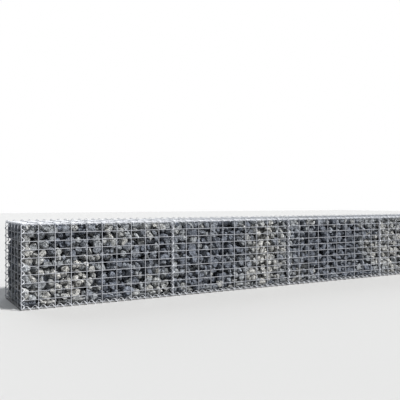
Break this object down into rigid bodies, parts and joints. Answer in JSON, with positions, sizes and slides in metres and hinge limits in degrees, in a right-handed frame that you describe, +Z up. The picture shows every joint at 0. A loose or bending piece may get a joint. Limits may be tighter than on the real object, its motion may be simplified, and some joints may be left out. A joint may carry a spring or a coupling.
{
  "type": "gabion wall",
  "caption": "Free-standing gabion wall: welded wire mesh baskets in a row, filled with broken stone and bound at corners and joints with wire spirals.",
  "frame": {"origin": "on the ground, at the middle of the wall's length and depth", "axes": "+X along the wall to the right as seen from its front, +Y from front to back, +Z up"},
  "size_m": [4.0564, 0.5294, 0.5285],
  "materials": {
    "mesh_wire": "galvanised, dull",
    "spiral_wire": "galvanised, dull",
    "broken_stone": "rough, broken"
  },
  "bodies": {
    "root": {"back_mesh_1": "mesh_wire", "back_mesh_2": "mesh_wire", "back_mesh_3": "mesh_wire", "back_mesh_4": "mesh_wire", "back_spiral_1": "spiral_wire", "back_spiral_2": "spiral_wire", "back_spiral_3": "spiral_wire", "back_spiral_4": "spiral_wire", "back_spiral_5": "spiral_wire", "base_mesh_1": "mesh_wire", "base_mesh_2": "mesh_wire", "base_mesh_3": "mesh_wire", "base_mesh_4": "mesh_wire", "diaphragm_1": "mesh_wire", "diaphragm_2": "mesh_wire", "diaphragm_3": "mesh_wire", "front_mesh_1": "mesh_wire", "front_mesh_2": "mesh_wire", "front_mesh_3": "mesh_wire", "front_mesh_4": "mesh_wire", "front_spiral_1": "spiral_wire", "front_spiral_2": "spiral_wire", "front_spiral_3": "spiral_wire", "front_spiral_4": "spiral_wire", "front_spiral_5": "spiral_wire", "left_end_mesh": "mesh_wire", "lid_mesh_1": "mesh_wire", "lid_mesh_2": "mesh_wire", "lid_mesh_3": "mesh_wire", "lid_mesh_4": "mesh_wire", "right_end_mesh": "mesh_wire", "stone_fill_1": "broken_stone", "stone_fill_2": "broken_stone", "stone_fill_3": "broken_stone", "stone_fill_4": "broken_stone", "top_back_spiral_1": "spiral_wire", "top_back_spiral_2": "spiral_wire", "top_back_spiral_3": "spiral_wire", "top_back_spiral_4": "spiral_wire", "top_front_spiral_1": "spiral_wire", "top_front_spiral_2": "spiral_wire", "top_front_spiral_3": "spiral_wire", "top_front_spiral_4": "spiral_wire"}
  },
  "joints": []
}
